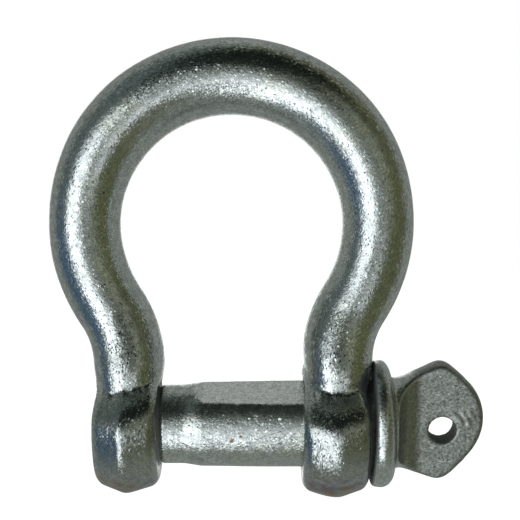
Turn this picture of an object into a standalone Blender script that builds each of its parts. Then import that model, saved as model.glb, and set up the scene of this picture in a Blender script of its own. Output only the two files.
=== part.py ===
"""Screw-pin bow shackle, 12 mm nominal.

Frame: the origin lies on the pin axis, midway between the jaws. +X runs along the pin
towards its eye, +Z points to the crown of the bow, and the bow lies in the XZ plane.
"""
import math

import bmesh
import bpy
from mathutils import Matrix, Vector

MM = 0.001

# Bow: a round bar, bent to a large round that closes into two short straight legs.
BAR_R = 5.95 * MM
CROWN_BAR_R = 6.45 * MM
SHOULDER_BAR_R = 5.85 * MM
BOW_R = 24.2 * MM
BOW_CENTRE_Z = 33.15 * MM
SHOULDER_R = 17.0 * MM
FLARE_TOP_Z = 13.5 * MM
LEG_END_Z = 2.0 * MM

# Legs and ears by side. The ears are forged discs with a roof-shaped rim.
LEG_X = {"left": 16.9 * MM, "right": 17.3 * MM}
WAIST_TOP_Z = {"left": 11.0 * MM, "right": 15.0 * MM}
WAIST_END_Z = {"left": 4.0 * MM, "right": 7.0 * MM}
EAR_X = {"left": 17.1 * MM, "right": 16.85 * MM}
EAR_HALF = {"left": 5.2 * MM, "right": 5.45 * MM}
EAR_R = {"left": 11.35 * MM, "right": 12.15 * MM}
SIGN = {"left": -1.0, "right": 1.0}
EAR_FLAT_IN = 2.3 * MM
EAR_EDGE_IN = 1.5 * MM
EAR_EDGE_BACK = 1.0 * MM
EAR_ROOF_DROP = 0.6 * MM
EAR_RIDGE_OUT = 0.5 * MM
EAR_EDGE_RISE = 0.35 * MM
EAR_EDGE_MIDDLE = (0.3, 0.75)
EAR_ROOF_AT = 0.5
EAR_CREST_HALF = 0.6 * MM
EAR_CREST_DROP = 0.06 * MM
LEG_INSIDE_FACE = 0.15 * MM
LEG_INSIDE_RIM = 1.2 * MM

# Pin: thread, neck, shank, collar and flattened eye.
THREAD_R = 6.45 * MM
THREAD_PITCH = 2.0 * MM
THREAD_DEPTH = 0.95 * MM
NECK_R = 6.5 * MM
SHANK_NEAR_R = 6.95 * MM
SHANK_R = 7.1 * MM
PIN_END_X = -21.6 * MM
PIN_POINT = 1.1 * MM
THREAD_PAST_JAW = 0.3 * MM
NECK_STEP = 0.2 * MM
NECK_END_X = -8.2 * MM
SHANK_START_X = -4.6 * MM
SHANK_FULL_X = 8.0 * MM
COLLAR_X = 22.95 * MM
COLLAR_THICK = 3.35 * MM
COLLAR_R = 10.5 * MM
COLLAR_WEDGE = 0.15
COLLAR_NEAR_R = 0.6 * MM
COLLAR_BAND = 0.6 * MM
COLLAR_DOME_DROP = 2.7 * MM
EYE_TILT = math.radians(11.7)
EYE_RISE = 0.15 * MM
EYE_LEAN = 0.065
EYE_THICK = 4.3 * MM
EYE_NECK_R = 7.5 * MM
EYE_START_X = COLLAR_X + 1.5 * MM
EYE_NECK_END_X = 27.4 * MM
EYE_SHOULDER = (30.4 * MM, 8.65 * MM)
EYE_PEAK = (34.2 * MM, 9.85 * MM)
EYE_BEFORE_PEAK = (1.3 * MM, 0.2 * MM)
EYE_AFTER_PEAK = (1.4 * MM, 0.55 * MM)
EYE_FLANK = (38.0 * MM, 7.15 * MM)
EYE_TIP_START_X = 38.6 * MM
EYE_TIP_X = 41.35 * MM
EYE_TIP_R = 8.9 * MM
EYE_HOLE_R = 2.2 * MM
EYE_HOLE_X = 34.45 * MM
EYE_HOLE_Z = -0.6 * MM
SCOOP_X = (26.8 * MM, 31.0 * MM)
SCOOP_ABOVE_NECK = 0.4 * MM

# Clearances round the pin.
BORE_GAP = 0.4 * MM
THREAD_GAP = 0.3 * MM
BORE_CHAMFER = 0.45 * MM

# Threads: depth and half width of a groove as shares, and how far its tool passes the metal.
EAR_GROOVE_SHARE = 0.75
EAR_GROOVE_HALF = 0.42 * THREAD_PITCH
EAR_GROOVE_BASE = 0.5 * MM
PIN_GROOVE_HALF = 0.5 * THREAD_PITCH
PIN_GROOVE_BASE = 0.25 * MM
PIN_GROOVE_SHORT = 0.7 * MM

# Reach of cutters beyond the metal, and the distance under which Boolean slivers merge.
BEYOND = 1.0 * MM
HOLE_REACH = 6.0 * MM
SCOOP_BEYOND = 2.0 * MM
SCOOP_REACH = 14.0 * MM
SLIVER = 0.002 * MM

BAR_SIDES = 32
TURNED_SIDES = 36
HOLE_SIDES = 24
BOW_STEPS = 18
SHOULDER_STEPS = 4
LEG_STEPS = 5
TAPER_STEPS = 4
EDGE_STEPS = 3
DOME_STEPS = 6
FLARE_STEPS = 3
TIP_STEPS = 7
SCOOP_STEPS = 7
SHARP_ANGLE = math.radians(35)


def clear_scene():
    for item in list(bpy.data.objects):
        bpy.data.objects.remove(item, do_unlink=True)


def material(name, colour, roughness, metallic):
    made = bpy.data.materials.new(name)
    made.use_nodes = True
    shader = made.node_tree.nodes["Principled BSDF"]
    shader.inputs["Base Color"].default_value = (*colour, 1.0)
    shader.inputs["Roughness"].default_value = roughness
    shader.inputs["Metallic"].default_value = metallic
    return made


def smoothstep(t):
    t = max(0.0, min(1.0, t))
    return t * t * (3.0 - 2.0 * t)


def finish_mesh(name, bm):
    """Make an object of a bmesh, with its faces pointing out."""
    bmesh.ops.recalc_face_normals(bm, faces=bm.faces)
    mesh = bpy.data.meshes.new(name)
    bm.to_mesh(mesh)
    bm.free()
    made = bpy.data.objects.new(name, mesh)
    bpy.context.collection.objects.link(made)
    return made


def loft(name, rings):
    """Skin a list of rings, each a list of as many points, and close both ends."""
    bm = bmesh.new()
    rows = [[bm.verts.new(point) for point in ring] for ring in rings]
    count = len(rows[0])
    for row, after in zip(rows, rows[1:]):
        for i in range(count):
            j = (i + 1) % count
            bm.faces.new((row[i], row[j], after[j], after[i]))
    bm.faces.new(rows[0])
    bm.faces.new(rows[-1])
    return finish_mesh(name, bm)


def turned(name, profile, sides=TURNED_SIDES, axis_x=0.0, axis_z=0.0):
    """Turn a profile of (x, radius) points about an axis along X; radius 0 makes a tip."""
    bm = bmesh.new()
    rows = []
    for x, radius in profile:
        count = sides if radius > 0.0 else 1
        angles = [2.0 * math.pi * i / sides for i in range(count)]
        rows.append([bm.verts.new((axis_x + x, radius * math.sin(a),
                                   axis_z + radius * math.cos(a))) for a in angles])
    for row, after in zip(rows, rows[1:]):
        for i in range(sides):
            j = (i + 1) % sides
            corners = [row[i % len(row)], row[j % len(row)], after[j % len(after)],
                       after[i % len(after)]]
            bm.faces.new(list(dict.fromkeys(corners)))
    return finish_mesh(name, bm)


def boolean(target, tool, operation):
    """Apply a Boolean to the target and remove the tool."""
    change = target.modifiers.new(operation.lower(), "BOOLEAN")
    change.operation = operation
    change.solver = "EXACT"
    change.object = tool
    bpy.context.view_layer.update()
    graph = bpy.context.evaluated_depsgraph_get()
    result = bpy.data.meshes.new_from_object(target.evaluated_get(graph))
    target.modifiers.remove(change)
    target.data = result
    bpy.data.objects.remove(tool, do_unlink=True)


def tidy(target, finish):
    """Merge the slivers that Booleans leave, shade round faces smooth, give one material."""
    bm = bmesh.new()
    bm.from_mesh(target.data)
    bmesh.ops.remove_doubles(bm, verts=bm.verts, dist=SLIVER)
    bmesh.ops.dissolve_degenerate(bm, edges=bm.edges, dist=SLIVER)
    bm.to_mesh(target.data)
    bm.free()
    target.data.shade_smooth()
    target.data.set_sharp_from_angle(angle=SHARP_ANGLE)
    target.data.materials.clear()
    target.data.materials.append(finish)


def thread_tool(name, tip_r, base_r, x_from, x_to, half_width):
    """A V-shaped ridge wound along a helix about X, from x_from to x_to."""
    steps = round((x_to - x_from) / THREAD_PITCH * TURNED_SIDES)
    along = Vector((1.0, 0.0, 0.0))
    rings = []
    for i in range(steps + 1):
        angle = 2.0 * math.pi * i / TURNED_SIDES
        x = x_from + THREAD_PITCH * i / TURNED_SIDES
        out = Vector((0.0, math.sin(angle), math.cos(angle)))
        rings.append([along * x + out * tip_r,
                      along * (x + half_width) + out * base_r,
                      along * (x - half_width) + out * base_r])
    return loft(name, rings)


def arc(centre, radius, start, end, steps):
    """Points (x, y) along an arc, its angles in degrees."""
    angles = [math.radians(start + (end - start) * i / steps) for i in range(steps + 1)]
    return [(centre[0] + radius * math.cos(a), centre[1] + radius * math.sin(a))
            for a in angles]


def through(points, steps):
    """A smooth Catmull-Rom curve through (x, y) points."""
    ends = [points[0], *points, points[-1]]
    curve = []
    for before, a, b, after in zip(ends, ends[1:], ends[2:], ends[3:]):
        for i in range(steps):
            t = i / steps
            curve.append(tuple(
                0.5 * (2.0 * a[k] + (b[k] - before[k]) * t
                       + (2.0 * before[k] - 5.0 * a[k] + 4.0 * b[k] - after[k]) * t * t
                       + (3.0 * a[k] - before[k] - 3.0 * b[k] + after[k]) * t ** 3)
                for k in range(2)))
    return curve + [points[-1]]


def half_centreline(side):
    """Centreline from the crown down one leg: (x, z, direction x, direction z)."""
    leg_x = LEG_X[side]
    reach = BOW_R + SHOULDER_R
    meet = math.acos((leg_x + SHOULDER_R) / reach)
    shoulder_z = BOW_CENTRE_Z - reach * math.sin(meet)
    line = []
    for i in range(BOW_STEPS + 1):
        angle = math.pi / 2 - (math.pi / 2 + meet) * i / BOW_STEPS
        line.append((BOW_R * math.cos(angle), BOW_CENTRE_Z + BOW_R * math.sin(angle),
                     math.sin(angle), -math.cos(angle)))
    for i in range(1, SHOULDER_STEPS + 1):
        angle = meet * (1.0 - i / SHOULDER_STEPS)
        line.append((leg_x + SHOULDER_R * (1.0 - math.cos(angle)),
                     shoulder_z + SHOULDER_R * math.sin(angle),
                     -math.sin(angle), -math.cos(angle)))
    for i in range(1, LEG_STEPS + 1):
        z = shoulder_z + (LEG_END_Z - shoulder_z) * i / LEG_STEPS
        line.append((leg_x, z, 0.0, -1.0))
    return line


def bar_ring(side, x, z, dx, dz):
    """Section of the bar: round, then waisted sideways and flared deep above the ears."""
    rise = smoothstep((z - BOW_CENTRE_Z) / BOW_R)
    fall = smoothstep((BOW_CENTRE_Z - z) / (BOW_CENTRE_Z - FLARE_TOP_Z))
    radius = BAR_R + (CROWN_BAR_R - BAR_R) * rise + (SHOULDER_BAR_R - BAR_R) * fall
    waist = smoothstep((WAIST_TOP_Z[side] - z) / (WAIST_TOP_Z[side] - WAIST_END_Z[side]))
    flare = smoothstep((FLARE_TOP_Z - z) / (FLARE_TOP_Z - LEG_END_Z))
    across = radius + (EAR_HALF[side] - LEG_INSIDE_FACE - radius) * waist
    deep = radius + (EAR_R["left"] - LEG_INSIDE_RIM - radius) * flare
    ring = []
    for i in range(BAR_SIDES):
        angle = 2.0 * math.pi * i / BAR_SIDES
        aside = across * math.cos(angle)
        ring.append((x + aside * dz, deep * math.sin(angle), z - aside * dx))
    return ring


def bent_bar():
    """The bar alone, left leg to right leg."""
    right = [bar_ring("right", *station) for station in half_centreline("right")]
    left = [bar_ring("left", -x, z, dx, -dz) for x, z, dx, dz in half_centreline("left")]
    return loft("bow_body", left[:0:-1] + right)


def ear_profile(side):
    """Half section of an ear about the pin axis: flat faces and a roof-shaped rim."""
    half = EAR_HALF[side]
    outer_r = EAR_R[side]
    flat_r = outer_r - EAR_FLAT_IN
    edge_r = outer_r - EAR_EDGE_IN
    ridge_x = SIGN[side] * EAR_RIDGE_OUT
    back, out = EAR_EDGE_MIDDLE
    slope = [(half, flat_r),
             (half - back * EAR_EDGE_BACK, flat_r + out * (edge_r - flat_r)),
             (half - EAR_EDGE_BACK, edge_r + EAR_EDGE_RISE),
             (EAR_ROOF_AT * half, outer_r - EAR_ROOF_DROP)]
    mirrored = [(-x, r) for x, r in slope]
    crest = [(ridge_x + x, outer_r - EAR_CREST_DROP) for x in (-EAR_CREST_HALF, EAR_CREST_HALF)]
    return [(-half, 0.0), *mirrored, crest[0], (ridge_x, outer_r), crest[1],
            *reversed(slope), (half, 0.0)]


def bore_tool(side, radius, chamfer):
    """Cutter for a bore through an ear, with a chamfer at both mouths."""
    half = EAR_HALF[side]
    profile = [(-half - BEYOND, 0.0), (-half - BEYOND, radius + chamfer + BEYOND),
               (-half + chamfer, radius), (half - chamfer, radius),
               (half + BEYOND, radius + chamfer + BEYOND), (half + BEYOND, 0.0)]
    return turned("bore", profile, axis_x=SIGN[side] * EAR_X[side])


def bow_body():
    """The bent bar and its two bored ears, one forging."""
    body = bent_bar()
    for side in ("left", "right"):
        ear = turned("ear", ear_profile(side), axis_x=SIGN[side] * EAR_X[side])
        boolean(body, ear, "UNION")
    boolean(body, bore_tool("right", SHANK_R + BORE_GAP, BORE_CHAMFER), "DIFFERENCE")
    crest_r = THREAD_R + THREAD_GAP
    boolean(body, bore_tool("left", crest_r, THREAD_DEPTH), "DIFFERENCE")
    reach = EAR_HALF["left"] + THREAD_PITCH
    tip_r = crest_r + EAR_GROOVE_SHARE * THREAD_DEPTH
    thread = thread_tool("ear_thread", tip_r, crest_r - EAR_GROOVE_BASE,
                         -EAR_X["left"] - reach, -EAR_X["left"] + reach, EAR_GROOVE_HALF)
    boolean(body, thread, "DIFFERENCE")
    tidy(body, material("zinc_bow", (0.48, 0.49, 0.47), 0.36, 1.0))
    return body


def pin_profile():
    """Profile of the pin, from its threaded end to the far face of the collar."""
    jaw_x = -(EAR_X["left"] - EAR_HALF["left"])
    thread_end_x = jaw_x + THREAD_PAST_JAW
    points = [(PIN_END_X, 0.0), (PIN_END_X, THREAD_R - PIN_POINT),
              (PIN_END_X + PIN_POINT, THREAD_R), (thread_end_x, THREAD_R),
              (thread_end_x + NECK_STEP, NECK_R)]
    for i in range(TAPER_STEPS + 1):
        t = i / TAPER_STEPS
        points.append((NECK_END_X + (SHANK_START_X - NECK_END_X) * t,
                       NECK_R + (SHANK_NEAR_R - NECK_R) * smoothstep(t)))
    points += [(SHANK_FULL_X, SHANK_R), (COLLAR_X, SHANK_R)]
    points += arc((COLLAR_X + COLLAR_NEAR_R, COLLAR_R - COLLAR_NEAR_R), COLLAR_NEAR_R,
                  180, 90, EDGE_STEPS)
    wide = COLLAR_THICK - COLLAR_NEAR_R - COLLAR_BAND
    points += [(COLLAR_X + COLLAR_THICK - wide * (1.0 - math.cos(a)),
                COLLAR_R - COLLAR_DOME_DROP * (1.0 - math.sin(a)))
               for a in (math.pi / 2 * (1.0 - i / DOME_STEPS) for i in range(DOME_STEPS + 1))]
    return points + [(COLLAR_X + COLLAR_THICK, 0.0)]


def wedge_collar(pin):
    """Make the collar thicker on its lower side, as the forging is."""
    middle = COLLAR_X + COLLAR_THICK / 2
    for vertex in pin.data.vertices:
        if vertex.co.x > COLLAR_X - SLIVER:
            swell = 1.0 - COLLAR_WEDGE * vertex.co.z / COLLAR_R
            vertex.co.x = middle + (vertex.co.x - middle) * swell


def eye_blank():
    """The eye before it is flattened: a turned bulb that grows out of the collar."""
    peak_x, peak_r = EYE_PEAK
    back, down = EYE_BEFORE_PEAK
    on, off = EYE_AFTER_PEAK
    flare = through([(EYE_START_X, EYE_NECK_R), (EYE_NECK_END_X, EYE_NECK_R), EYE_SHOULDER,
                     (peak_x - back, peak_r - down), EYE_PEAK, (peak_x + on, peak_r - off),
                     EYE_FLANK], FLARE_STEPS)
    tip_centre = EYE_TIP_X - EYE_TIP_R
    start = math.degrees(math.acos((EYE_TIP_START_X - tip_centre) / EYE_TIP_R))
    tip = arc((tip_centre, 0.0), EYE_TIP_R, start, 0.0, TIP_STEPS)
    profile = [(EYE_START_X, 0.0), *flare, *tip[:-1], (EYE_TIP_X, 0.0)]
    blank = turned("eye_blank", profile, axis_z=EYE_RISE)
    for vertex in blank.data.vertices:
        vertex.co.z += EYE_LEAN * max(0.0, vertex.co.x - SCOOP_X[0])
    return blank


def eye_scoop(side):
    """Cutter for one face of the eye: a concave run down from the neck, then flat."""
    flat_y = EYE_THICK / 2
    start_x, flat_x = SCOOP_X
    deep = EYE_NECK_R + SCOOP_ABOVE_NECK - flat_y
    run = [(flat_x - (flat_x - start_x) * math.cos(a), flat_y + deep * (1.0 - math.sin(a)))
           for a in (math.pi / 2 * i / SCOOP_STEPS for i in range(SCOOP_STEPS + 1))]
    far_x = EYE_TIP_X + SCOOP_BEYOND
    outline = run + [(far_x, flat_y), (far_x, SCOOP_REACH), (start_x, SCOOP_REACH)]
    return loft("eye_scoop", [[(x, side * y, z) for x, y in outline]
                              for z in (-SCOOP_REACH, SCOOP_REACH)])


def eye_hole():
    """Cutter for the hole through the eye, along Y."""
    hole = turned("eye_hole", [(-HOLE_REACH, 0.0), (-HOLE_REACH, EYE_HOLE_R),
                               (HOLE_REACH, EYE_HOLE_R), (HOLE_REACH, 0.0)], sides=HOLE_SIDES)
    place = Matrix.Translation((EYE_HOLE_X, 0.0, EYE_HOLE_Z))
    hole.data.transform(place @ Matrix.Rotation(math.pi / 2, 4, "Z"))
    return hole


def screw_pin():
    """The pin: threaded end, neck, shank, collar and flattened eye, one forging."""
    pin = turned("screw_pin", pin_profile())
    wedge_collar(pin)
    eye = eye_blank()
    for tool in (eye_scoop(-1.0), eye_scoop(1.0), eye_hole()):
        boolean(eye, tool, "DIFFERENCE")
    eye.data.transform(Matrix.Rotation(EYE_TILT, 4, "X"))
    boolean(pin, eye, "UNION")
    jaw_x = EAR_HALF["left"] - EAR_X["left"]
    thread = thread_tool("pin_thread", THREAD_R - THREAD_DEPTH, THREAD_R + PIN_GROOVE_BASE,
                         PIN_END_X - THREAD_PITCH, jaw_x - PIN_GROOVE_SHORT, PIN_GROOVE_HALF)
    boolean(pin, thread, "DIFFERENCE")
    tidy(pin, material("zinc_pin", (0.52, 0.52, 0.49), 0.38, 1.0))
    return pin


clear_scene()
bow_body()
screw_pin()
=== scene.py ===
"""Looks of the screw-pin bow shackle: two zinc-plated forgings, standing on a pale floor.

The CAD nodes give the frame. Each is shown by a detailed piece of the same size: a field, negative
inside the metal, is built up from the forging's features, and a skin is drawn over it.
Lengths in this script are in millimetres until a mesh is made.
"""

import math

import bpy
import numpy as np
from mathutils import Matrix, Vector, noise


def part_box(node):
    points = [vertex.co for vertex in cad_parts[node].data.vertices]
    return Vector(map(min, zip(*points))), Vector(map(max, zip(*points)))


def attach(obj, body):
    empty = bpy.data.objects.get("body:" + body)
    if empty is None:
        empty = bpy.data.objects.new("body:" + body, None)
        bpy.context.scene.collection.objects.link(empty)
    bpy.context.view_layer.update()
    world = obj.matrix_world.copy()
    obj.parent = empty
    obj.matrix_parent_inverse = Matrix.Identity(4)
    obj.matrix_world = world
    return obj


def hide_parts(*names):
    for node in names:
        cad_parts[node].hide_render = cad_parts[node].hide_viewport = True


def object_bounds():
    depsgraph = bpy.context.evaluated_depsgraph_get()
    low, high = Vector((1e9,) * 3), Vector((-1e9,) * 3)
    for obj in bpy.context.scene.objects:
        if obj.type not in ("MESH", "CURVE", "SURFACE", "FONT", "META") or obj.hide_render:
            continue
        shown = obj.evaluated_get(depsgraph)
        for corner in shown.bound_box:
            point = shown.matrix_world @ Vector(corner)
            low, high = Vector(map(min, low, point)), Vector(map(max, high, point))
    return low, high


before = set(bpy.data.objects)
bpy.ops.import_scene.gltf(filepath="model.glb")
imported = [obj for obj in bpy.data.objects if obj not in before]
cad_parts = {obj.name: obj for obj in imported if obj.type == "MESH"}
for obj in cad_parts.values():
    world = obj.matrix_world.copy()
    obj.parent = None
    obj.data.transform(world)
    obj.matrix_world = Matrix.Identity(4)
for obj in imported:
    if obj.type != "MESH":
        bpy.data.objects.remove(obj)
cad_low, cad_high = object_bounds()

MM = 0.001

# Bow, with the CAD part's dimensions.
BAR_R = 5.95
CROWN_BAR_R = 6.45
SHOULDER_BAR_R = 5.85
BOW_R = 24.2
BOW_CENTRE_Z = 33.15
SHOULDER_R = 17.0
LEG_X = {"left": 16.9, "right": 17.3}
WAIST_TOP_Z = {"left": 11.0, "right": 15.0}
WAIST_END_Z = {"left": 4.0, "right": 7.0}
EAR_X = {"left": 17.1, "right": 16.85}
EAR_HALF = {"left": 5.2, "right": 5.45}
EAR_R = {"left": 11.35, "right": 12.15}

# Forged details of the bow that the CAD part leaves out or simplifies.
FLARE_TOP_Z = 19.0
FLARE_POWER = 1.3
FLARE_LIMIT = 2.0
LEG_WITHIN_EAR = 0.15
LEG_END_Z = 1.0
LEG_END_R = 0.2
PAD_TOP_Z = 9.2
PAD_DEPTH = 7.4
PAD_RECESS = 0.07
PAD_SQUARE = 0.4
PAD_BLEND = 0.3
LEDGE_DEPTH = 7.0
LEDGE_SLOPE = math.radians(37.0)
LEDGE_Z = {"left": 6.0, "right": 5.5}
LEDGE_SLANT = {"left": -0.26, "right": 0.0}
LEDGE_CRINKLE = {"left": 0.25, "right": 0.1}
LEDGE_BLEND = 2.4
# Waves along the edge of a ledge: (radians per millimetre, phase, height).
CRINKLE_WAVES = ((2.3, 0.6, 1.0), (4.9, 2.0, 0.6))
CRINKLE_BELOW = 0.9
CRINKLE_FADE = 0.7
CRINKLE_EDGE = 2.0
# A swell on the outer side of a leg, beside the collar.
BULGE = {"left": 0.0, "right": 0.45}
BULGE_Z = 8.8
BULGE_REACH = 3.6
# The ridge of an ear's rim, and the slopes of the rim on its two sides.
RIDGE_OUT = {"left": 0.2, "right": 0.3}
RIDGE_HALF = 0.35
ROOF_OUTER = {"left": 0.56, "right": 0.34}
ROOF_BOTTOM = {"left": 0.4, "right": 0.34}
ROOF_INNER = {"left": 0.3, "right": 0.15}
ROOF_CURVE = {"left": 0.0, "right": 0.026}
ROOF_BOTTOM_FROM = 0.375
ROOF_CREST_R = 0.3
ROOF_RIM_R = 0.25
EAR_EDGE_R = 1.4
EAR_BLEND = 0.5

# Pin, with the CAD part's dimensions.
THREAD_R = 6.45
THREAD_PITCH = 2.0
THREAD_DEPTH = 0.95
NECK_R = 6.5
SHANK_NEAR_R = 6.95
SHANK_R = 7.1
PIN_END_X = -21.6
PIN_POINT = 1.1
NECK_END_X = -8.2
SHANK_START_X = -4.6
COLLAR_X = 22.95
COLLAR_THICK = 3.35
COLLAR_R = 10.5
COLLAR_WEDGE = 0.15
COLLAR_NEAR_R = 0.6
EYE_TILT = math.radians(11.7)
EYE_RISE = 0.15
EYE_LEAN = 0.065
EYE_THICK = 4.3
EYE_NECK_R = 7.5
EYE_NECK_END_X = 27.4
EYE_SHOULDER = (30.4, 8.65)
EYE_BEFORE_PEAK = (-1.3, -0.2)
EYE_PEAK = (34.2, 9.85)
EYE_AFTER_PEAK = (1.4, -0.55)
EYE_TIP_X = 41.35
EYE_TIP_R = 8.9
EYE_HOLE_R = 2.2
EYE_HOLE_X = 34.45
EYE_HOLE_Z = -0.6
SCOOP_X = (26.8, 31.0)
SCOOP_ABOVE_NECK = 0.4

# Details of the pin that the CAD part leaves out or simplifies.
THREAD_FLANK = 1.2
THREAD_RUNOUT = 1.2
THREAD_BEFORE_JAW = 0.2
PIN_END_R = 0.3
SHANK_FULL_RUN = 12.0
RELIEF_X = -11.75
RELIEF_HALF = 0.35
RELIEF_EDGE = 1.4
RELIEF_DEPTH = 0.4
FLAT_AT = 6.3
FLAT_ANGLE = math.radians(61.0)
FLAT_START_X = NECK_END_X + 0.6
FLAT_LIFT = 3.0
FLAT_RUN_IN = 3.0
FLAT_EDGE_R = 0.12
COLLAR_CONE = 0.13
COLLAR_DOME = (2.0, 2.6)
COLLAR_BLEND = 0.3
INTO_COLLAR = 1.0
EYE_BEFORE_TIP = (-0.7, 0.8)
EYE_FLANK_SLOPE = 0.85
EYE_TIP_ANGLE = math.radians(46.5)
EYE_EDGE_R = 0.7
EYE_BLEND = 0.8
HOLE_EDGE_R = 0.3

# Worn arcs on the eye's faces: (radius about the hole, bearing at each end in radians).
WORN_ARCS = ((3.3, 0.2, 1.3), (4.4, 0.0, 0.9), (5.4, 0.25, 0.8))
WORN_RISE = 0.16
WORN_HALF = 0.28
WORN_FADE = 0.25

# Holes through the ears: plain on the right, threaded on the left.
BORE_R = 7.5
BORE_CHAMFER = 0.45
BORE_EDGE_R = 0.25
EAR_THREAD_R = 6.75
EAR_THREAD_DEPTH = 0.75 * THREAD_DEPTH
EAR_THREAD_FLANK = 0.85
EAR_THREAD_CHAMFER = 0.5 * THREAD_DEPTH
EAR_THREAD_EDGE_R = 0.12

# Skin: spacing of its points, how far it keeps inside the CAD outline, how its points are moved
# onto the field (half the distance for a slope, longest move, least slope squared), and how they
# are evened out. LEAST_ARM keeps a shoulder's angle defined beside its centre.
STEP = 0.34
INSET = 0.05
SLOPE_REACH = 0.01
LONGEST_MOVE = 0.4
LEAST_SQUARE = 0.3
RELAX_SHARE = 0.5
RELAX_ROUNDS = 3
LEAST_ARM = 0.1

# Unevenness of the forged skin: (size, height) of each layer, and the step between two pieces.
UNEVEN = ((7.0, 0.05), (1.9, 0.009), (0.75, 0.004))
SEED_STEP = Vector((17.0, 5.0, -9.0))

# Mesh attribute that gives a place along the grain of the forging.
LAY = "lay"


# ---------------------------------------------------------------- fields

def smoothstep(t):
    t = np.clip(t, 0.0, 1.0)
    return t * t * (3.0 - 2.0 * t)


def join(a, b, radius):
    """Union of two fields, with a fillet."""
    near = np.maximum(radius - np.abs(a - b), 0.0) / radius
    return np.minimum(a, b) - near * near * radius / 4.0


def common(a, b, radius):
    """Intersection of two fields, with a rounded edge."""
    return -join(-a, -b, radius)


def rounded(a, b, radius):
    """Intersection of two fields, with an edge rounded to a radius."""
    a, b = a + radius, b + radius
    return np.minimum(np.maximum(a, b), 0.0) + np.hypot(np.maximum(a, 0.0),
                                                        np.maximum(b, 0.0)) - radius


def helix(x, y, z, start_x):
    """Distance along X from the nearest turn of the thread's helix."""
    turns = (x - start_x) / THREAD_PITCH - np.arctan2(y, z) / (2.0 * math.pi)
    return np.abs(turns - np.round(turns)) * THREAD_PITCH


def bar_place(x, z, side):
    """Length along the bar's centreline from the crown, and distance outside it, for x >= 0."""
    shoulder_x = LEG_X[side] + SHOULDER_R
    reach = BOW_R + SHOULDER_R
    meet = math.acos(shoulder_x / reach)
    shoulder_z = BOW_CENTRE_Z - reach * math.sin(meet)
    bow_end = BOW_R * (math.pi / 2 + meet)
    leg_start = bow_end + SHOULDER_R * meet
    up = z - BOW_CENTRE_Z
    above_meet = x * math.sin(meet) + up * math.cos(meet) > 0.0
    turned = meet - np.arctan2(z - shoulder_z, np.maximum(shoulder_x - x, LEAST_ARM))
    on_shoulder = z > shoulder_z
    along = np.where(above_meet, BOW_R * np.arctan2(x, up), np.where(
        on_shoulder, bow_end + SHOULDER_R * turned, leg_start + shoulder_z - z))
    aside = np.where(above_meet, np.hypot(x, up) - BOW_R, np.where(
        on_shoulder, SHOULDER_R - np.hypot(x - shoulder_x, z - shoulder_z), x - LEG_X[side]))
    return along, aside


def bar_field(x, y, z, side):
    """Half of the bent bar, for x >= 0, down to a leg."""
    aside = bar_place(x, z, side)[1]
    rise = smoothstep((z - BOW_CENTRE_Z) / BOW_R)
    fall = smoothstep((BOW_CENTRE_Z - z) / (BOW_CENTRE_Z - FLARE_TOP_Z))
    radius = BAR_R + (CROWN_BAR_R - BAR_R) * rise + (SHOULDER_BAR_R - BAR_R) * fall
    waist = smoothstep((WAIST_TOP_Z[side] - z) / (WAIST_TOP_Z[side] - WAIST_END_Z[side]))
    across = radius + (EAR_HALF[side] - LEG_WITHIN_EAR - radius) * waist
    bulge = BULGE[side] * np.exp(-((z - BULGE_Z) / BULGE_REACH) ** 2)
    across = across + bulge * smoothstep(aside / across)
    flare = np.clip((FLARE_TOP_Z - z) / (FLARE_TOP_Z - PAD_TOP_Z), 0.0, FLARE_LIMIT)
    flare = np.maximum(join(flare ** FLARE_POWER, 1.0, PAD_BLEND), 0.0)
    recess = PAD_RECESS * np.clip(PAD_TOP_Z - z, 0.0, PAD_TOP_Z - LEDGE_Z["right"])
    deep = radius + (PAD_DEPTH - radius) * flare - recess
    power = 2.0 + PAD_SQUARE * flare
    size = (np.abs(aside / across) ** power + np.abs(y / deep) ** power) ** (1.0 / power)
    return (size - 1.0) * across


def ear_field(x, y, z, side):
    """One ear, for x >= 0: a disc with a roof-shaped rim, stepped below the bar's pad."""
    out = x - EAR_X[side]
    half = EAR_HALF[side]
    outer = out - RIDGE_OUT[side] - RIDGE_HALF
    inner = RIDGE_OUT[side] - RIDGE_HALF - out
    distance = np.hypot(y, z)
    around = distance - EAR_R[side]
    bottom = smoothstep((-z / distance - ROOF_BOTTOM_FROM) / (1.0 - ROOF_BOTTOM_FROM))
    slope = ROOF_OUTER[side] + (ROOF_BOTTOM[side] - ROOF_OUTER[side]) * bottom
    fall = ROOF_INNER[side] * inner + ROOF_CURVE[side] * np.maximum(inner, 0.0) ** 2
    roof = common(around + slope * outer, around + fall, ROOF_CREST_R)
    disc = rounded(common(roof, around, ROOF_RIM_R), np.abs(out) - half, EAR_EDGE_R)
    ledge_z = LEDGE_Z[side] + LEDGE_SLANT[side] * out
    crinkle = sum(height * np.sin(rate * out + phase) for rate, phase, height in CRINKLE_WAVES)
    crinkle = crinkle * smoothstep((z - ledge_z + CRINKLE_BELOW) / CRINKLE_FADE)
    crinkle = crinkle * smoothstep((half - np.abs(out)) / CRINKLE_EDGE)
    ledge_z = ledge_z + LEDGE_CRINKLE[side] * crinkle
    ledge = ((np.abs(y) - LEDGE_DEPTH) * math.sin(LEDGE_SLOPE)
             + (z - ledge_z) * math.cos(LEDGE_SLOPE))
    return common(disc, ledge, LEDGE_BLEND)


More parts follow.
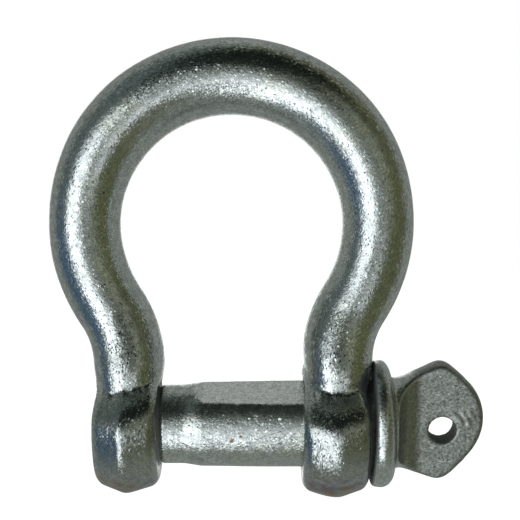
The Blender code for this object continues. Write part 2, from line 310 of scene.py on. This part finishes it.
def bow_field(x, y, z):
    """The bow: the bent bar and its two ears, the left one with a thread and the right one plain."""
    halves = []
    for side, sign in (("left", -1.0), ("right", 1.0)):
        bar = common(bar_field(x * sign, y, z, side), LEG_END_Z - z, LEG_END_R)
        halves.append(join(bar, ear_field(x * sign, y, z, side), EAR_BLEND))
    body = np.where(x < 0.0, *halves)
    around = np.hypot(y, z)
    out = np.abs(x - EAR_X["right"])
    mouth = np.maximum(out - EAR_HALF["right"] + BORE_CHAMFER, 0.0)
    body = common(body, np.where(x > 0.0, BORE_R + mouth, 0.0) - around, BORE_EDGE_R)
    out = np.abs(x + EAR_X["left"])
    mouth = np.maximum(out - EAR_HALF["left"] + EAR_THREAD_CHAMFER, 0.0)
    start_x = -EAR_X["left"] - EAR_HALF["left"] - THREAD_PITCH
    groove = EAR_THREAD_DEPTH - EAR_THREAD_FLANK * helix(x, y, z, start_x)
    thread_r = EAR_THREAD_R + np.maximum(np.maximum(groove, 0.0), mouth)
    return common(body, np.where(x < 0.0, thread_r, 0.0) - around, EAR_THREAD_EDGE_R)


def through(points, steps=8):
    """A smooth Catmull-Rom curve through (x, radius) points."""
    ends = np.array([points[0], *points, points[-1]])
    t = np.linspace(0.0, 1.0, steps, endpoint=False)[:, None]
    curve = [0.5 * (2.0 * a + (b - before) * t + (2.0 * before - 5.0 * a + 4.0 * b - after) * t * t
                    + (3.0 * a - before - 3.0 * b + after) * t ** 3)
             for before, a, b, after in zip(ends, ends[1:], ends[2:], ends[3:])]
    return np.concatenate([*curve, ends[-1:]])


def collar_field(x, y, z):
    """The collar: a thick washer, wedge-shaped from top to bottom, rounded towards the eye."""
    middle = COLLAR_X + COLLAR_THICK / 2
    swell = 1.0 - COLLAR_WEDGE * z / COLLAR_R
    along = (x - middle) / swell
    half = COLLAR_THICK / 2
    around = np.hypot(y, z)
    wide, deep = COLLAR_DOME
    cone = COLLAR_CONE * np.maximum(half - wide - along, 0.0)
    near = rounded(around - COLLAR_R + cone, -along - half, COLLAR_NEAR_R)
    a, b = (along - half + wide) / wide, (around - COLLAR_R + deep) / deep
    dome = (np.hypot(np.maximum(a, 0.0), np.maximum(b, 0.0)) - 1.0) * wide
    return np.maximum(near, np.maximum(dome, along - half))


def bulb_field(x, around):
    """The eye before it is flattened: a turned bulb with a round tip."""
    tip_centre = EYE_TIP_X - EYE_TIP_R
    meet = (tip_centre + EYE_TIP_R * math.cos(EYE_TIP_ANGLE), EYE_TIP_R * math.sin(EYE_TIP_ANGLE))
    profile = through([(COLLAR_X, EYE_NECK_R), (EYE_NECK_END_X, EYE_NECK_R), EYE_SHOULDER,
                       np.add(EYE_PEAK, EYE_BEFORE_PEAK), EYE_PEAK,
                       np.add(EYE_PEAK, EYE_AFTER_PEAK), np.add(meet, EYE_BEFORE_TIP), meet])
    bulb = (around - np.interp(x, *profile.T)) * EYE_FLANK_SLOPE
    tip = np.hypot(around, x - tip_centre) - EYE_TIP_R
    return np.where(x > meet[0], tip, bulb)


def eye_face(x, high, from_hole):
    """Distance of the eye's face from its middle: flat, scooped up to the neck, with worn arcs."""
    start_x, flat_x = SCOOP_X
    run = np.clip((flat_x - x) / (flat_x - start_x), 0.0, 1.0)
    deep = EYE_NECK_R + SCOOP_ABOVE_NECK - EYE_THICK / 2
    face = EYE_THICK / 2 + deep * (1.0 - np.sqrt(1.0 - run * run))
    bearing = np.arctan2(high - EYE_HOLE_Z, x - EYE_HOLE_X)
    for radius, start, end in WORN_ARCS:
        run = smoothstep((bearing - start) / WORN_FADE) * smoothstep((end - bearing) / WORN_FADE)
        face = face + WORN_RISE * run * np.exp(-((from_hole - radius) / WORN_HALF) ** 2)
    return face


def eye_field(x, y, z):
    """The flattened eye: a turned bulb with a concave scoop in each face, and its hole."""
    flat = y * math.cos(EYE_TILT) + z * math.sin(EYE_TILT)
    high = z * math.cos(EYE_TILT) - y * math.sin(EYE_TILT)
    lean = high - EYE_RISE - EYE_LEAN * np.maximum(0.0, x - SCOOP_X[0])
    from_hole = np.hypot(x - EYE_HOLE_X, high - EYE_HOLE_Z)
    face = eye_face(x, high, from_hole)
    blade = common(bulb_field(x, np.hypot(flat, lean)), np.abs(flat) - face, EYE_EDGE_R)
    blade = np.maximum(blade, COLLAR_X + INTO_COLLAR - x)
    return common(blade, EYE_HOLE_R - from_hole, HOLE_EDGE_R)


def shank_field(x, y, z):
    """The pin from its threaded end to the collar."""
    jaw_x = EAR_HALF["left"] - EAR_X["left"]
    taper = smoothstep((x - NECK_END_X) / (SHANK_START_X - NECK_END_X))
    radius = np.where(x < jaw_x, THREAD_R, NECK_R + (SHANK_NEAR_R - NECK_R) * taper)
    radius = radius + (SHANK_R - SHANK_NEAR_R) * smoothstep((x - SHANK_START_X) / SHANK_FULL_RUN)
    away = helix(x, y, z, PIN_END_X - THREAD_PITCH)
    fade = smoothstep((jaw_x - THREAD_BEFORE_JAW - x) / THREAD_RUNOUT)
    groove = np.maximum(THREAD_DEPTH * fade - THREAD_FLANK * away, 0.0)
    point = np.maximum(PIN_END_X + PIN_POINT - x, 0.0)
    relief = RELIEF_DEPTH * smoothstep(RELIEF_EDGE - np.abs(x - RELIEF_X) / RELIEF_HALF)
    rod = np.hypot(y, z) - (radius - groove - point - relief)
    lift = FLAT_LIFT * (1.0 - smoothstep((x - FLAT_START_X) / FLAT_RUN_IN))
    flat = z * math.sin(FLAT_ANGLE) - y * math.cos(FLAT_ANGLE) - FLAT_AT - lift
    rod = common(rod, flat, FLAT_EDGE_R)
    return common(np.maximum(rod, x - COLLAR_X - INTO_COLLAR), PIN_END_X - x, PIN_END_R)


def pin_field(x, y, z):
    """The pin: thread, neck, shank, collar and eye."""
    head = join(collar_field(x, y, z), eye_field(x, y, z), EYE_BLEND)
    return join(shank_field(x, y, z), head, COLLAR_BLEND)


# ---------------------------------------------------------------- skin

def draw_onto(points, field, rounds=3):
    """Move points along the field's slope until the field is zero."""
    for _ in range(rounds):
        slope = np.stack([(field(*(points + d).T) - field(*(points - d).T)) / (2.0 * SLOPE_REACH)
                          for d in np.eye(3) * SLOPE_REACH], axis=1)
        square = np.maximum((slope * slope).sum(axis=1), LEAST_SQUARE)
        move = np.clip(field(*points.T) / square, -LONGEST_MOVE, LONGEST_MOVE)
        points = points - slope * move[:, None]
    return points


def relaxed(points, quads):
    """Each point moved part of the way to the mean of its neighbours."""
    count = len(points)
    near = np.concatenate([quads[:, [i, (i + 1) % 4]] for i in range(4)])
    links = np.bincount(near[:, 0], minlength=count)[:, None]
    total = np.stack([np.bincount(near[:, 0], weights=points[near[:, 1], k], minlength=count)
                      for k in range(3)], axis=1)
    return points + RELAX_SHARE * (total / links - points)


def skin(field, low, high):
    """Points and quads of the surface where the field is zero (surface nets)."""
    axes = [np.arange(a - 2 * STEP, b + 3 * STEP, STEP) for a, b in zip(low, high)]
    inside = field(*np.meshgrid(*axes, indexing="ij", sparse=True)) < 0.0
    cells = np.zeros([n - 1 for n in inside.shape], dtype=np.int8)
    shifts = [(a, b, c) for a in (0, 1) for b in (0, 1) for c in (0, 1)]
    for a, b, c in shifts:
        cells += inside[a:a + cells.shape[0], b:b + cells.shape[1], c:c + cells.shape[2]]
    places = np.argwhere((cells > 0) & (cells < 8))
    number = np.full(cells.shape, -1)
    number[tuple(places.T)] = np.arange(len(places))
    points = np.array([axis[0] for axis in axes]) + (places + 0.5) * STEP
    quads = []
    for axis in range(3):
        second, third = (axis + 1) % 3, (axis + 2) % 3
        here = np.moveaxis(inside, axis, 0)[:-1]
        there = np.moveaxis(inside, axis, 0)[1:]
        for order, crossing in ((1, here & ~there), (-1, ~here & there)):
            at = np.argwhere(np.moveaxis(crossing, 0, axis))
            corners = []
            for back_second, back_third in ((1, 1), (0, 1), (0, 0), (1, 0)):
                cell = at.copy()
                cell[:, second] -= back_second
                cell[:, third] -= back_third
                corners.append(number[tuple(cell.T)])
            quads.append(np.stack(corners, axis=1)[:, ::order])
    quads = np.concatenate(quads)
    points = draw_onto(relaxed(points, quads), field)
    for _ in range(RELAX_ROUNDS):
        points = draw_onto(relaxed(points, quads), field, rounds=1)
    return points, quads


def forged(points, quads, seed):
    """The uneven surface of a forging: slow swells and fine pits, along the normals."""
    a, b, c, d = (points[quads[:, i]] for i in range(4))
    face = np.cross(c - a, d - b)
    normal = np.stack([sum(np.bincount(quads[:, i], weights=face[:, k], minlength=len(points))
                           for i in range(4)) for k in range(3)], axis=1)
    normal /= np.linalg.norm(normal, axis=1)[:, None]
    amount = np.empty(len(points))
    for i, point in enumerate(points):
        at = Vector(point) + SEED_STEP * seed
        amount[i] = sum(height * noise.noise(at / size) for size, height in UNEVEN)
    return points + normal * (amount - INSET)[:, None]


def bow_lay(points):
    """Where points would lie if the bow's bar were straight: along, aside, through."""
    x, y, z = points.T
    left, right = bar_place(-x, z, "left"), bar_place(x, z, "right")
    along, aside = np.where(x < 0.0, (-left[0], left[1]), right)
    return np.stack([along, aside, y], axis=1)


def piece(name, field, node, body, seed):
    """A detailed piece that stands for a CAD node and moves with its body."""
    low, high = (np.array(corner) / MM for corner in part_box(node))
    points, quads = skin(field, low, high)
    points = forged(points, quads, seed)
    points = np.clip(points, low, high) * MM
    mesh = bpy.data.meshes.new(name)
    mesh.from_pydata(points.tolist(), [], quads.tolist())
    mesh.shade_smooth()
    lay = bow_lay(points / MM) * MM if node == "bow_body" else points
    mesh.attributes.new(LAY, "FLOAT_VECTOR", "POINT").data.foreach_set("vector", lay.ravel())
    made = bpy.data.objects.new(name, mesh)
    bpy.context.scene.collection.objects.link(made)
    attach(made, body)
    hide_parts(node)
    return made


# ---------------------------------------------------------------- materials

# Plating: colour and roughness of each piece, then what the two share. A noise's size is in
# millimetres, and its span is the range of its values that makes the change.
BOW_ZINC = (0.585, 0.615, 0.605)
PIN_ZINC = (0.58, 0.615, 0.605)
BOW_ROUGH = (0.17, 0.25)
PIN_ROUGH = (0.2, 0.28)
SEED_SHIFT = Vector((0.1, 0.07, 0.0))
MOTTLE_SIZE = 1.3
MOTTLE_SPAN = (0.35, 0.65)
MOTTLE_BUMP = 0.03
MOTTLE_DARK = 0.84
BLOTCH_SIZE = 6.0
BLOTCH_SPAN = (0.48, 0.75)
BLOTCH_SHARE = 0.6
BLOTCH_WARMTH = (0.98, 0.96, 0.84)
GRAIN_SIZE = 0.34
GRAIN_BUMP = 0.03
LAY_STRETCH = (0.65, 1.0, 1.0)
SCRATCH_SIZE = 0.3
SCRATCH_BUMP = 0.02
SPECK_SIZE = 1.1
SPECK_SPAN = (0.79, 0.82)
SPECK = (0.13, 0.075, 0.035, 1.0)
MARK_ROUGH = 0.8

# Facets of the plating: their size, the random draws over which one comes to lean more and by
# what factor, the range of their shades, and how far they lean on each part.
FACET_SIZE = 0.2
FACET_STRAY = (0.8, 0.9)
FACET_STRAY_LEAN = 3.4
FACET_SHADES = (0.78, 1.2)
LEG_LEAN = 0.1
EAR_LEAN = 0.17
EAR_LEAN_Z = (26.0, LEDGE_Z["right"])
PIN_LEAN = 0.1

# Marks on the bow: dull and stained ears, and painted shade on the face beside the collar.
EAR_DULL = (0.25, 0.27, 0.25, 1.0)
EAR_DULL_Z = (LEDGE_Z["left"], 0.6 * LEDGE_Z["left"])
EAR_DULL_SHARE = 0.3
EAR_ROUGH = 0.3
EAR_ROUGH_Z = (PAD_TOP_Z, 0.5 * PAD_TOP_Z)
STAIN_Z = (-6.0, -10.5)
STAIN_DULL = 0.75
STAIN_SIZE = 1.5
STAIN_SPAN = (0.42, 0.56)
STAIN_SHARE = 0.85
HUE_SIZE = 5.0
HUE_SPAN = (0.45, 0.6)
BROWN = (0.3, 0.18, 0.06, 1.0)
PURPLE = (0.24, 0.19, 0.36, 1.0)
# Painted shade: the dark colour put into crevices, gaps and the eye's hole, and its share.
PAINTED_SHADE = (0.05, 0.065, 0.055, 1.0)
PAINTED_SHADE_SHARE = 0.85
EAR_FACE_X = EAR_X["right"] + EAR_HALF["right"]
FACE_PAINTED_SHADE_X = (EAR_FACE_X - 0.25, EAR_FACE_X - 0.02)
FACE_PAINTED_SHADE_Z = (PAD_TOP_Z + 0.4, PAD_TOP_Z)

# Marks on the pin: a dull eye, painted shade in its hole and beside the ears, a paler flat, and
# rust.
EYE_ROUGH = 0.54
EYE_DARK = (0.24, 0.255, 0.23, 1.0)
EYE_PALE = (0.36, 0.375, 0.35, 1.0)
EYE_MOTTLE_SIZE = 0.5
HOLE_PAINTED_SHADE_R = (EYE_HOLE_R + 0.25, EYE_HOLE_R + 0.1)
RING_FADE = 1.6
# Rings of painted shade on the pin: in the relief groove by the left ear, and in the gap by the
# collar.
COLLAR_PAINTED_SHADE_X = COLLAR_X - 0.3
COLLAR_PAINTED_SHADE_HALF = 0.45
COLLAR_SLOPE = 0.5 * COLLAR_THICK * COLLAR_WEDGE / COLLAR_R
PAINTED_SHADE_RINGS = ((RELIEF_X, RELIEF_HALF, 0.0), (COLLAR_PAINTED_SHADE_X, COLLAR_PAINTED_SHADE_HALF, COLLAR_SLOPE))
PALER_FLAT = (0.78, 0.8, 0.79, 1.0)
PALER_FLAT_AT = (FLAT_AT - 0.25, FLAT_AT - 0.12)
PALER_FLAT_START_X = (FLAT_START_X + 1.0, FLAT_START_X + 2.0)
PALER_FLAT_END_X = (COLLAR_X - 1.0, COLLAR_X - 1.5)
RUST = (0.3, 0.19, 0.1, 1.0)
RUST_SPOTS = (((0.2, -6.8, -1.9), 0.5), ((1.5, -6.9, -1.3), 0.35))
RUST_NOISE_SIZE = 0.5
RUST_RAGGED = 0.7
PIN_FILM = 0.03


class Nodes:
    """Short calls for building a node tree."""

    def __init__(self, tree):
        self.tree = tree
        tree.nodes.clear()

    def add(self, kind, inputs=None, **settings):
        """A node with its settings, and its inputs linked or set."""
        node = self.tree.nodes.new(kind)
        for name, value in settings.items():
            setattr(node, name, value)
        for key, value in (inputs or {}).items():
            if isinstance(value, bpy.types.NodeSocket):
                self.tree.links.new(value, node.inputs[key])
            else:
                node.inputs[key].default_value = value
        return node

    def noise(self, place, size, detail=2.0, roughness=0.5, output="Fac"):
        """Noise whose features are about size millimetres across."""
        return self.add("ShaderNodeTexNoise", {
            "Vector": place, "Scale": 1.0 / (size * MM), "Detail": detail,
            "Roughness": roughness}).outputs[output]

    def spread(self, value, low, high, to_low=0.0, to_high=1.0):
        """A value mapped from one range to another, smoothly and clamped."""
        return self.add("ShaderNodeMapRange", {
            "Value": value, "From Min": low, "From Max": high, "To Min": to_low,
            "To Max": to_high}, interpolation_type="SMOOTHSTEP").outputs["Result"]

    def within(self, length, low, high, to_low=0.0, to_high=1.0):
        """As spread, for a length whose range is given in millimetres."""
        return self.spread(length, low * MM, high * MM, to_low, to_high)

    def maths(self, operation, a, b=0.0):
        """One operation on two numbers."""
        return self.add("ShaderNodeMath", {0: a, 1: b}, operation=operation).outputs[0]

    def vector(self, operation, a, b=(0.0, 0.0, 0.0), c=(0.0, 0.0, 0.0)):
        """One operation on vectors that gives a vector."""
        return self.add("ShaderNodeVectorMath", {0: a, 1: b, 2: c}, operation=operation).outputs[0]

    def measure(self, operation, a, b):
        """One operation on two vectors that gives a number."""
        return self.add("ShaderNodeVectorMath", {0: a, 1: b}, operation=operation).outputs["Value"]

    def parts(self, vector):
        """The three parts of a vector."""
        return self.add("ShaderNodeSeparateXYZ", {0: vector}).outputs

    def mix(self, share, a, b):
        """Colour a going to colour b."""
        return self.add("ShaderNodeMix", {0: share, 6: a, 7: b}, data_type="RGBA").outputs[2]

    def bump(self, height, depth, normal=None):
        """Bump of a height from 0 to 1 that stands for depth millimetres."""
        inputs = {"Height": height, "Distance": depth * MM, "Strength": 1.0}
        if normal is not None:
            inputs["Normal"] = normal
        return self.add("ShaderNodeBump", inputs).outputs["Normal"]


# The marks of a piece are made from an object place and the plating's colour. They give the new
# colour, a share that roughens it, the lean of its facets, and the share that hides the metal
# (painted shade, rust).

def bow_marks(n, at, tone):
    """Duller, rougher ears with brown and purple stains low down, facets that lean more towards the
    ears, and painted shade on the face beside the collar, which also roughens it and hides the
    metal."""
    along, _, height = n.parts(at)
    low = n.within(height, *STAIN_Z)
    dull = n.within(height, *EAR_DULL_Z, 0.0, EAR_DULL_SHARE)
    dull = n.maths("MAXIMUM", dull, n.maths("MULTIPLY", low, STAIN_DULL))
    tone = n.mix(dull, tone, EAR_DULL)
    stain = n.spread(n.noise(at, STAIN_SIZE, detail=3.0), *STAIN_SPAN, 0.0, STAIN_SHARE)
    hue = n.mix(n.spread(n.noise(at, HUE_SIZE), *HUE_SPAN), BROWN, PURPLE)
    tone = n.mix(n.maths("MULTIPLY", low, stain), tone, hue)
    # Painted shade: a dark, rough, non-metal colour on the right ear's outer face below the pad, in
    # the gap by the collar.
    painted_shade = n.within(along, *FACE_PAINTED_SHADE_X, 0.0, PAINTED_SHADE_SHARE)
    painted_shade = n.maths("MULTIPLY", painted_shade, n.within(height, *FACE_PAINTED_SHADE_Z))
    lean = n.within(height, *EAR_LEAN_Z, LEG_LEAN, EAR_LEAN)
    worn = n.within(height, *EAR_ROUGH_Z, 0.0, EAR_ROUGH)
    return n.mix(painted_shade, tone, PAINTED_SHADE), n.maths("MAXIMUM", worn, painted_shade), lean, painted_shade


def pin_painted_shade(n, at, along, height):
    """Where shade is painted on the pin: in the eye's hole, and in rings beside the two ears."""
    hole = n.vector("SUBTRACT", at, Vector((EYE_HOLE_X, 0.0, 0.0)) * MM)
    across, _, high = n.parts(n.add("ShaderNodeVectorRotate", {
        "Vector": hole, "Axis": (1.0, 0.0, 0.0), "Angle": -EYE_TILT}).outputs[0])
    high = n.maths("SUBTRACT", high, EYE_HOLE_Z * MM)
    square = n.maths("ADD", n.maths("POWER", across, 2.0), n.maths("POWER", high, 2.0))
    painted_shade = n.within(n.maths("SQRT", square), *HOLE_PAINTED_SHADE_R)
    for place, half, slope in PAINTED_SHADE_RINGS:
        beside = n.maths("SUBTRACT", along, n.maths("MULTIPLY", height, slope))
        beside = n.maths("ABSOLUTE", n.maths("SUBTRACT", beside, place * MM))
        painted_shade = n.maths("MAXIMUM", painted_shade, n.within(beside, RING_FADE * half, half))
    return painted_shade


def pin_paler_flat(n, at, along):
    """Where the pin is paler: on the flat along its shank."""
    level = n.measure("DOT_PRODUCT", at, (0.0, -math.cos(FLAT_ANGLE), math.sin(FLAT_ANGLE)))
    paler_flat = n.maths("MULTIPLY", n.within(level, *PALER_FLAT_AT), n.within(along, *PALER_FLAT_START_X))
    return n.maths("MULTIPLY", paler_flat, n.within(along, *PALER_FLAT_END_X))


def pin_rust(n, at):
    """Where the pin is rusty: ragged spots on the front of its shank."""
    wander = n.noise(at, RUST_NOISE_SIZE, output="Color")
    ragged = n.vector("MULTIPLY_ADD", wander, (RUST_RAGGED * MM,) * 3, at)
    rust = 0.0
    for spot, radius in RUST_SPOTS:
        centre = (Vector(spot) + Vector((0.5 * RUST_RAGGED,) * 3)) * MM
        near = n.within(n.measure("DISTANCE", ragged, centre), radius, 0.5 * radius)
        rust = n.maths("MAXIMUM", near, rust)
    return rust


def pin_marks(n, at, tone):
    """A duller eye with painted shade in its hole and beside both ears, two spots of rust,
    and a paler flat along the shank."""
    along, _, height = n.parts(at)
    dull = n.within(along, *SCOOP_X)
    mottle = n.spread(n.noise(at, EYE_MOTTLE_SIZE), *MOTTLE_SPAN)
    tone = n.mix(dull, tone, n.mix(mottle, EYE_DARK, EYE_PALE))
    # Painted shade: the hole and the crevices beside the ears get a dark, rough, non-metal colour.
    painted_shade = pin_painted_shade(n, at, along, height)
    tone = n.mix(n.maths("MULTIPLY", painted_shade, PAINTED_SHADE_SHARE), tone, PAINTED_SHADE)
    tone = n.mix(pin_paler_flat(n, at, along), tone, PALER_FLAT)
    rust = pin_rust(n, at)
    cover = n.maths("MAXIMUM", n.maths("MAXIMUM", painted_shade, rust), PIN_FILM)
    worn = n.maths("MAXIMUM", n.maths("MULTIPLY", dull, EYE_ROUGH), cover)
    return n.mix(rust, tone, RUST), worn, PIN_LEAN, cover


def facets(n, stretched, lean, normal):
    """A normal that leans its own way on each small facet, and a random value for its shade."""
    colour = n.add("ShaderNodeTexVoronoi", {
        "Vector": stretched, "Scale": 1.0 / (FACET_SIZE * MM)}).outputs["Color"]
    _, draw, shade = n.parts(colour)
    lean = n.maths("MULTIPLY", lean, n.spread(draw, *FACET_STRAY, 1.0, FACET_STRAY_LEAN))
    lean = n.add("ShaderNodeCombineXYZ", {0: lean, 1: lean, 2: lean}).outputs[0]
    tilt = n.vector("ADD", colour, (-0.5, -0.5, -0.5))
    return n.vector("NORMALIZE", n.vector("MULTIPLY_ADD", tilt, lean, normal)), shade


def zinc(name, colour, rough_span, seed, marks):
    """Zinc plating over a forged skin: small tilted facets, fine grain, soft mottling, a few rust
    specks, and the marks of its piece."""
    made = bpy.data.materials.new(name)
    made.use_nodes = True
    n = Nodes(made.node_tree)
    coordinates = n.add("ShaderNodeTexCoord").outputs["Object"]
    place = n.vector("ADD", coordinates, SEED_SHIFT * seed)
    lay = n.add("ShaderNodeAttribute", attribute_name=LAY).outputs["Vector"]
    stretched = n.vector("MULTIPLY", lay, LAY_STRETCH)
    mottle = n.noise(place, MOTTLE_SIZE)

    dark = [MOTTLE_DARK * part for part in colour]
    warm = [part * share for part, share in zip(colour, BLOTCH_WARMTH)]
    tone = n.mix(n.spread(mottle, *MOTTLE_SPAN), (*dark, 1.0), (*colour, 1.0))
    blotch = n.spread(n.noise(place, BLOTCH_SIZE), *BLOTCH_SPAN, 0.0, BLOTCH_SHARE)
    tone = n.mix(blotch, tone, (*warm, 1.0))
    tone, worn, lean, cover = marks(n, coordinates, tone)
    speck = n.spread(n.noise(place, SPECK_SIZE, detail=1.0), *SPECK_SPAN)
    tone = n.mix(speck, tone, SPECK)

    smooth, coarse = rough_span
    rough = n.spread(mottle, *MOTTLE_SPAN, coarse, smooth)
    marked = n.maths("MULTIPLY", n.maths("MAXIMUM", speck, worn), MARK_ROUGH)
    rough = n.maths("MAXIMUM", rough, marked)

    normal = n.bump(mottle, MOTTLE_BUMP)
    normal = n.bump(n.noise(stretched, SCRATCH_SIZE, detail=1.0), SCRATCH_BUMP, normal)
    normal, shade = facets(n, stretched, lean, normal)
    normal = n.bump(n.noise(place, GRAIN_SIZE, detail=3.0, roughness=0.7), GRAIN_BUMP, normal)
    shade = n.spread(shade, 0.0, 1.0, *FACET_SHADES)
    tone = n.add("ShaderNodeVectorMath", {0: tone, "Scale": shade}, operation="SCALE").outputs[0]
    shader = n.add("ShaderNodeBsdfPrincipled", {
        "Base Color": tone, "Metallic": n.maths("SUBTRACT", 1.0, cover), "Roughness": rough,
        "Normal": normal})
    n.add("ShaderNodeOutputMaterial", {"Surface": shader.outputs["BSDF"]})
    return made


# ---------------------------------------------------------------- stage

FLOOR_Z = cad_low[2]
FLOOR_R = 2.0
FLOOR_SIDES = 96
FLOOR_ROUGH = 0.9
FLOOR_COLOUR = (0.8, 0.8, 0.8, 1.0)
FLOOR_GLOW = 0.93
PALE = (1.0, 1.0, 1.0, 1.0)

# What the metal mirrors. A patch has a direction, the angles in degrees within which it is full
# and beyond which it is gone, and a colour; a later patch lies over an earlier one. A span is the
# range of a direction's X, Y or Z over which one colour turns into the next.
LEFT_HIGH = (0.12, 0.15, 0.145, 1.0)
LEFT_LOW = (0.085, 0.14, 0.21, 1.0)
LEFT_SPAN = (0.25, -0.1)
RIGHT = (0.13, 0.14, 0.075, 1.0)
RIGHT_SPAN = (-0.5, 0.5)
BELOW = (0.26, 0.28, 0.25, 1.0)
BELOW_SPAN = (-0.4, -0.95)
FRONT_PATCHES = (
    ((0.05, -1.0, -0.05), (8.0, 42.0), (0.22, 0.245, 0.215, 1.0)),
    ((0.2, -0.62, 0.75), (24.0, 43.0), (0.009, 0.014, 0.011, 1.0)),
    ((0.55, -0.78, 0.3), (6.0, 22.0), (0.3, 0.32, 0.25, 1.0)),
    ((0.2, -0.94, -0.24), (2.0, 14.0), (1.3, 1.36, 1.4, 1.0)))
BEHIND = (0.29, 0.31, 0.29, 1.0)
BEHIND_SPAN = (0.02, 0.26)
BACK_PATCHES = (
    ((0.0, 0.45, 0.89), (3.0, 13.0), (0.42, 0.44, 0.43, 1.0)),
    ((-0.1, 0.99, 0.04), (10.0, 24.0), (1.3, 1.35, 1.35, 1.0)))

# The bright source: two patches together, cut off on both sides and by a shade.
SOURCE = (2.5, 2.62, 2.7, 1.0)
SOURCE_PATCHES = (((-0.58, -0.81, -0.1), (3.0, 33.0)), ((-0.2, -0.76, -0.62), (3.0, 31.0)))
SOURCE_RIGHT_SPAN = (0.12, -0.19)
SOURCE_LEFT_SPAN = (-0.95, -0.62)
SHADE_PATCH = ((-0.8, -0.4, -0.45), (12.0, 30.0))

# Camera.
CAMERA_AT = (4.7, -198.4, 27.0)
CAMERA_TURN = (math.radians(90.0), math.radians(0.2), 0.0)
CAMERA_NEAR = 0.01
SENSOR_WIDTH = 36.0
LENS = 83.08


def floor():
    """A plain pale floor with a faint contact shadow; the metal doesn't mirror it."""
    made = bpy.data.materials.new("pale_floor")
    made.use_nodes = True
    n = Nodes(made.node_tree)
    shader = n.add("ShaderNodeBsdfPrincipled", {
        "Base Color": FLOOR_COLOUR, "Roughness": FLOOR_ROUGH, "Emission Color": PALE,
        "Emission Strength": FLOOR_GLOW})
    n.add("ShaderNodeOutputMaterial", {"Surface": shader.outputs["BSDF"]})
    bpy.ops.mesh.primitive_circle_add(vertices=FLOOR_SIDES, radius=FLOOR_R, fill_type="NGON",
                                      location=(0.0, 0.0, FLOOR_Z))
    plane = bpy.context.object
    plane.name = "floor"
    plane.data.materials.append(made)
    plane.visible_glossy = False


def lobe(n, direction, towards, angles):
    """1 within the first angle of a direction, 0 beyond the second."""
    full, gone = (math.cos(math.radians(angle)) for angle in angles)
    return n.spread(n.measure("DOT_PRODUCT", direction, Vector(towards).normalized()), gone, full)


def bright_source(n, direction):
    """Share of the bright source in a direction: low in front, to the left."""
    x = n.parts(direction)[0]
    source = n.maths("MAXIMUM", *(lobe(n, direction, *patch) for patch in SOURCE_PATCHES))
    for span in (SOURCE_RIGHT_SPAN, SOURCE_LEFT_SPAN):
        source = n.maths("MULTIPLY", source, n.spread(x, *span))
    shade = n.maths("SUBTRACT", 1.0, lobe(n, direction, *SHADE_PATCH))
    return n.maths("MULTIPLY", source, shade)


def studio():
    """Surroundings as the metal mirrors them: a soft bright source low on the left, a dark
    room above, olive to the right, blue-grey to the left, and a pale surface behind."""
    world = bpy.data.worlds.new("studio")
    bpy.context.scene.world = world
    world.use_nodes = True
    n = Nodes(world.node_tree)
    direction = n.add("ShaderNodeTexCoord").outputs["Generated"]
    x, y, z = n.parts(direction)
    left = n.mix(n.spread(z, *LEFT_SPAN), LEFT_HIGH, LEFT_LOW)
    sides = n.mix(n.spread(x, *RIGHT_SPAN), left, RIGHT)
    room = n.mix(n.spread(z, *BELOW_SPAN), sides, BELOW)
    for towards, angles, colour in FRONT_PATCHES:
        room = n.mix(lobe(n, direction, towards, angles), room, colour)
    room = n.mix(n.spread(y, *BEHIND_SPAN), room, BEHIND)
    for towards, angles, colour in BACK_PATCHES:
        room = n.mix(lobe(n, direction, towards, angles), room, colour)
    room = n.mix(bright_source(n, direction), room, SOURCE)
    mirrored = n.add("ShaderNodeBackground", {"Color": room, "Strength": 1.0})
    seen = n.add("ShaderNodeBackground", {"Color": PALE, "Strength": 1.0})
    camera_ray = n.add("ShaderNodeLightPath").outputs["Is Camera Ray"]
    both = n.add("ShaderNodeMixShader", {0: camera_ray, 1: mirrored.outputs[0],
                                         2: seen.outputs[0]})
    n.add("ShaderNodeOutputWorld", {"Surface": both.outputs[0]})


def camera():
    """A close view, level with the lower half of the bow."""
    data = bpy.data.cameras.new("camera")
    data.sensor_width = SENSOR_WIDTH
    data.lens = LENS
    data.clip_start = CAMERA_NEAR
    made = bpy.data.objects.new("camera", data)
    bpy.context.scene.collection.objects.link(made)
    made.location = Vector(CAMERA_AT) * MM
    made.rotation_euler = CAMERA_TURN
    bpy.context.scene.camera = made


bow = piece("bow_forging", bow_field, "bow_body", "bow", 1)
bow.data.materials.append(zinc("zinc_bow", BOW_ZINC, BOW_ROUGH, 1, bow_marks))
pin = piece("pin_forging", pin_field, "screw_pin", "pin", 2)
pin.data.materials.append(zinc("zinc_pin", PIN_ZINC, PIN_ROUGH, 2, pin_marks))
floor()
studio()
camera()
bpy.context.scene.view_settings.view_transform = "Standard"
